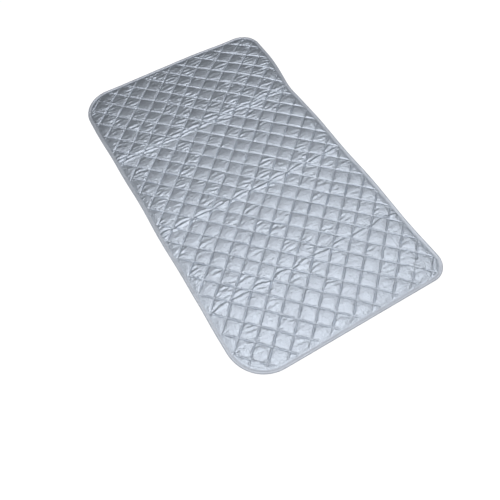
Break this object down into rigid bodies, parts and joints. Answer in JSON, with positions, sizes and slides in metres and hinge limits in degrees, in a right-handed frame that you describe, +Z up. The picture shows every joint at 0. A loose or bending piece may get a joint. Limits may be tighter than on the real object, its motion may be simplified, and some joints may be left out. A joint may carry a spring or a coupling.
{
  "type": "ironing pad",
  "caption": "Flat quilted ironing pad with rounded corners, a bound edge, magnets sewn in at the corners and fold creases across it; laid on a washer, dryer or table to iron on.",
  "frame": {"origin": "middle of the pad's outline, on the surface that it lies on", "axes": "+Y along the pad's length towards the far end of the picture, +Z up out of the ironing face"},
  "size_m": [0.46, 0.82, 0.0054],
  "materials": {
    "face_cloth": "silver-coated satin cloth, quilted in diamonds",
    "wadding": "soft off-white felt",
    "backing_cloth": "plain matte woven cloth",
    "binding_tape": "folded silver-grey tape with a sewn line",
    "magnet": "dark sintered disc",
    "pouch_cloth": "thin white lining cloth"
  },
  "bodies": {
    "far_panel": {"top_cover_far": "face_cloth", "wadding_far": "wadding", "backing_far": "backing_cloth", "binding_far_end": "binding_tape", "magnet_far_left": "magnet", "magnet_far_right": "magnet", "magnet_pouch_far_left": "pouch_cloth", "magnet_pouch_far_right": "pouch_cloth"},
    "second_panel": {"top_cover_second": "face_cloth", "wadding_second": "wadding", "backing_second": "backing_cloth", "binding_second_left": "binding_tape", "binding_second_right": "binding_tape"},
    "third_panel": {"top_cover_third": "face_cloth", "wadding_third": "wadding", "backing_third": "backing_cloth", "binding_third_left": "binding_tape", "binding_third_right": "binding_tape"},
    "near_panel": {"top_cover_near": "face_cloth", "wadding_near": "wadding", "backing_near": "backing_cloth", "binding_near_end": "binding_tape", "magnet_near_left": "magnet", "magnet_near_right": "magnet", "magnet_pouch_near_left": "pouch_cloth", "magnet_pouch_near_right": "pouch_cloth"}
  },
  "joints": [
    {"name": "far_fold", "type": "hinge", "parent": "far_panel", "child": "second_panel", "pos_m": [0, 0.18, 0.0117], "axis": [-1, 0, 0], "range_deg": [0, 180]},
    {"name": "middle_fold", "type": "hinge", "parent": "second_panel", "child": "third_panel", "pos_m": [0, -0.035, 0.0087], "axis": [-1, 0, 0], "range_deg": [0, 180]},
    {"name": "near_fold", "type": "hinge", "parent": "third_panel", "child": "near_panel", "pos_m": [0, -0.245, 0.0057], "axis": [-1, 0, 0], "range_deg": [0, 180]}
  ]
}
